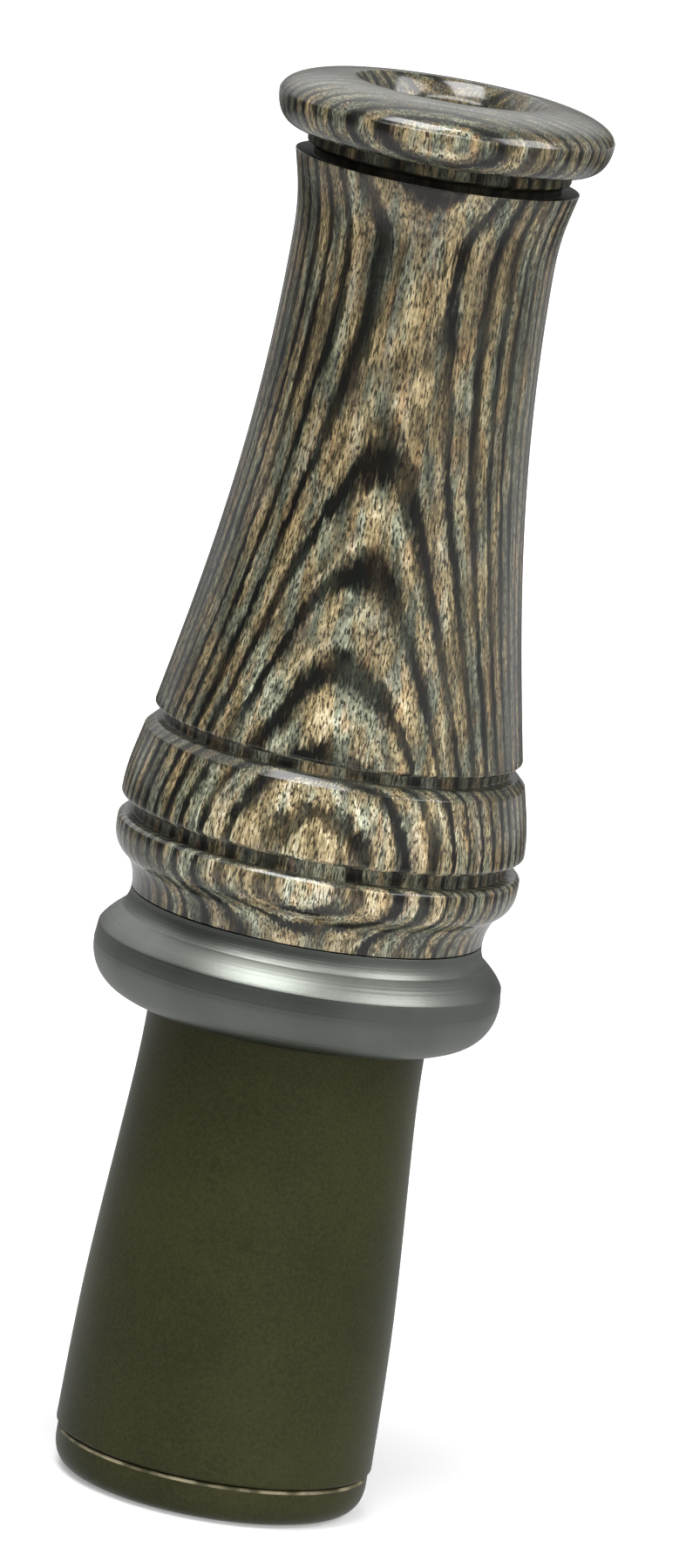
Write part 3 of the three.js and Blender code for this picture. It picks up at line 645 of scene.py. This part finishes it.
def laminated_wood():
    """Lacquered wood in flat veneers, whose grain runs along the call. Its tone is the lightness of
    the fibres times every share that darkens or lightens it, painted shade in the recesses and
    painted light on the bead and band among them, and the dyes colour that tone."""
    material, tree, shader = new_material("laminated birch")
    place = place_in_mm(tree)
    from_middle = dot(tree, place, square_to_veneers)
    depth = veneer_depth(tree, place, from_middle)
    broad_face, end_grain = cut_of_surface(tree)
    painted_shade = put(tree, "Attribute", attribute_name="painted_shade").outputs["Fac"]

    pores = stretched_noise(tree, place, (0.15, 0.15, 0.8), seed=29)
    pores = rescaled(tree, pores, 0.36, 0.50, 0.30, 1.0)
    mottle = stretched_noise(tree, place, (2.6, 2.6, 7), seed=37)
    mottle = rescaled(tree, mottle, 0.30, 0.70, 0.78, 1.15)
    darker_ends = maths(tree, "MULTIPLY_ADD", end_grain, -0.1, 1.0)
    paler_broad_faces = maths(tree, "MULTIPLY_ADD", broad_face, 0.08, 0.92)
    paler_outer_veneers = rescaled(tree, maths(tree, "ABSOLUTE", from_middle), 10.5, 18.0, 1.0, 1.3)
    # Painted light: the bead and band, the widest wood, are lightened all round in place of the
    # sheen and bounced light on their flanks.
    level = put(tree, "VectorMath", {0: place, 1: (1, 1, 0)}, operation="MULTIPLY").outputs[0]
    painted_light_on_bead_and_band = rescaled(tree, length(tree, level), 16.5, 18.2, 1.0, 1.13)
    # Painted shade: the barrel's mark darkens the tone in the recesses and on the band's chamfer.
    unshaded_share = maths(tree, "MULTIPLY_ADD", painted_shade, -0.85, 1.0)
    tone = maths(tree, "MULTIPLY_ADD", fibres(tree, place, depth), 0.68, 0.19)
    shares = (free_of_glue(tree, place, depth, broad_face, end_grain), pores, mottle, darker_ends,
              paler_broad_faces, paler_outer_veneers, painted_light_on_bead_and_band, unshaded_share)
    for share in shares:
        tone = maths(tree, "MULTIPLY", tone, share)
    colour = dyed(tree, place, depth, tone, broad_face, end_grain)
    tree.links.new(colour, shader.inputs["Base Color"])

    with_skin(tree, shader, roughness=0.5, unevenness=0.1, grain_size=0.3)
    pressed(tree, shader, (pores, 0.012))
    shader.inputs["Specular IOR Level"].default_value = 0.1
    # The lacquer thins where the painted shade is marked.
    lacquer = rescaled(tree, painted_shade, 0.0, 0.5, 1.0, 0.1)
    tree.links.new(lacquer, shader.inputs["Coat Weight"])
    shader.inputs["Coat IOR"].default_value = 1.62
    shader.inputs["Coat Roughness"].default_value = 0.14
    return material


barrel.data.materials.append(laminated_wood())
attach(barrel, "barrel")
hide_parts("barrel")

# Studio: a white tent with soft boxes overhead, on the right and in a narrow strip before them that
# draw the highlights, and two unreflected ones in front and behind. In reflections alone it is
# brightest behind, above and to the left, half as bright on the right, and dark by the camera.
def studio_white(tree, share):
    """Strength of the white that the studio shows: full to the camera and through glass, and a
    share of it in reflections."""
    rays = put(tree, "LightPath").outputs
    mirrored = maths(tree, "MULTIPLY", rays["Is Glossy Ray"], share)
    seen = maths(tree, "ADD", rays["Is Camera Ray"], mirrored)
    return maths(tree, "ADD", seen, rays["Is Transmission Ray"])


def floor_material():
    """Pale floor. The camera sees it lifted to white away from the call, and grey in the shadow.
    Reflections show it bright round the call's foot, far behind it and to the right."""
    material, tree, shader = new_material("pale floor")
    shader.inputs["Base Color"].default_value = (0.85, 0.85, 0.85, 1)
    shader.inputs["Roughness"].default_value = 0.9
    shader.inputs["Specular IOR Level"].default_value = 0.0
    shader.inputs["Emission Color"].default_value = (1, 1, 1, 1)
    rays = put(tree, "LightPath").outputs
    place = put(tree, "TexCoord").outputs["Object"]
    apart, away = put(tree, "SeparateXYZ", {0: place}).outputs, length(tree, place)
    lift = rescaled(tree, away, 0.03, 0.5, 0.3, 0.9)
    seen = maths(tree, "ADD", rays["Is Camera Ray"], rays["Is Transmission Ray"])
    tree.links.new(maths(tree, "MULTIPLY", seen, lift), shader.inputs["Emission Strength"])
    behind = rescaled(tree, apart["Y"], 0.3, 1.2, 0.0, 0.35)
    round_the_foot = rescaled(tree, away, 0.18, 0.45, 0.62, 0.06)
    to_right = rescaled(tree, apart["X"], 0.2, 0.6, 0.0, 0.2)
    share = maths(tree, "ADD", maths(tree, "ADD", behind, round_the_foot), to_right)
    mirrored = put(tree, "Emission", {"Strength": studio_white(tree, share)}).outputs[0]
    either = put(tree, "MixShader", {0: rays["Is Glossy Ray"], 1: shader.outputs[0], 2: mirrored})
    tree.links.new(either.outputs[0], tree.nodes["Material Output"].inputs["Surface"])
    return material


floor_half = 30.0
corners = np.array([(-1, -1, 0), (1, -1, 0), (1, 1, 0), (-1, 1, 0)]) * floor_half
floor_mesh = bpy.data.meshes.new("studio_floor")
floor_mesh.from_pydata(corners.tolist(), [], [(0, 1, 2, 3)])
floor = bpy.data.objects.new("studio_floor", floor_mesh)
bpy.context.scene.collection.objects.link(floor)
floor.data.materials.append(floor_material())


def white_surround():
    """World that is white to the camera, lights the call a little from all round, and in
    reflections is as bright as the tent is in that direction."""
    world = bpy.data.worlds.new("studio surround")
    world.use_nodes = True
    tree, background = world.node_tree, world.node_tree.nodes["Background"]
    direction = put(tree, "TexCoord").outputs["Generated"]
    apart = put(tree, "SeparateXYZ", {0: direction}).outputs
    behind_above_left = dot(tree, direction, (-0.45, 0.72, 0.52))
    bright_side = rescaled(tree, behind_above_left, 0.5, 0.85, 0.1, 1.0)
    dimmer_low = rescaled(tree, apart["Z"], 0.0, 0.45, 0.22, 1.0)
    to_right = rescaled(tree, apart["X"], 0.3, 0.8, 0.0, 0.42)
    share = maths(tree, "MULTIPLY_ADD", bright_side, dimmer_low, to_right)
    fill_light = 0.12
    lit = maths(tree, "MULTIPLY", put(tree, "LightPath").outputs["Is Diffuse Ray"], fill_light)
    background.inputs["Color"].default_value = (1, 1, 1, 1)
    strength = maths(tree, "ADD", studio_white(tree, share), lit)
    tree.links.new(strength, background.inputs["Strength"])
    return world


bpy.context.scene.world = white_surround()


def aim(thing, target, roll=0.0):
    """Turns a lamp or camera so that it looks at a point, then rolls it about its own axis."""
    line = mathutils.Vector(target) - thing.location
    turn = line.to_track_quat("-Z", "Y") @ mathutils.Quaternion((0, 0, 1), roll)
    thing.rotation_euler = turn.to_euler()


def soft_box(name, place, size, watts, reflected=True):
    """Hangs a soft box that looks at the middle of the call; sizes are in metres."""
    lamp = bpy.data.lights.new(name, "AREA")
    lamp.shape = "RECTANGLE"
    lamp.size, lamp.size_y = size
    lamp.energy = watts
    box = bpy.data.objects.new(name, lamp)
    bpy.context.scene.collection.objects.link(box)
    box.location = place
    box.visible_glossy = reflected
    middle_of_call = (0, 0, 0.07)
    aim(box, middle_of_call)


soft_box("overhead_box", place=(-0.2, -0.32, 0.95), size=(0.5, 0.5), watts=7.0)
soft_box("right_box", place=(0.7, -0.25, 0.8), size=(0.6, 0.5), watts=4.6)
soft_box("strip_box", place=(-0.1, -0.8, 0.85), size=(1.4, 0.14), watts=3.9)
soft_box("front_box", place=(0.36, -0.95, 0.25), size=(0.6, 0.6), watts=5.4, reflected=False)
soft_box("back_box", place=(-0.3, 0.9, 0.6), size=(0.6, 0.6), watts=2.5, reflected=False)

# Camera: a long lens a metre in front of the call and a little above it, as the ellipses of the
# turned edges ask. It is rolled, so that the call leans to the side in the picture.
lens = bpy.data.cameras.new("camera")
lens.sensor_fit = "AUTO"
lens.sensor_width = 36.0
lens.lens = 253.8
lens.clip_start, lens.clip_end = 0.05, 100.0
camera = bpy.data.objects.new("camera", lens)
bpy.context.scene.collection.objects.link(camera)
camera.location = (0, -1.0, 0.2544)
looked_at, lean_in_picture = (0.0012, 0, 0.06765), math.radians(10)
aim(camera, looked_at, lean_in_picture)
bpy.context.scene.camera = camera
bpy.context.scene.view_settings.view_transform = "Standard"
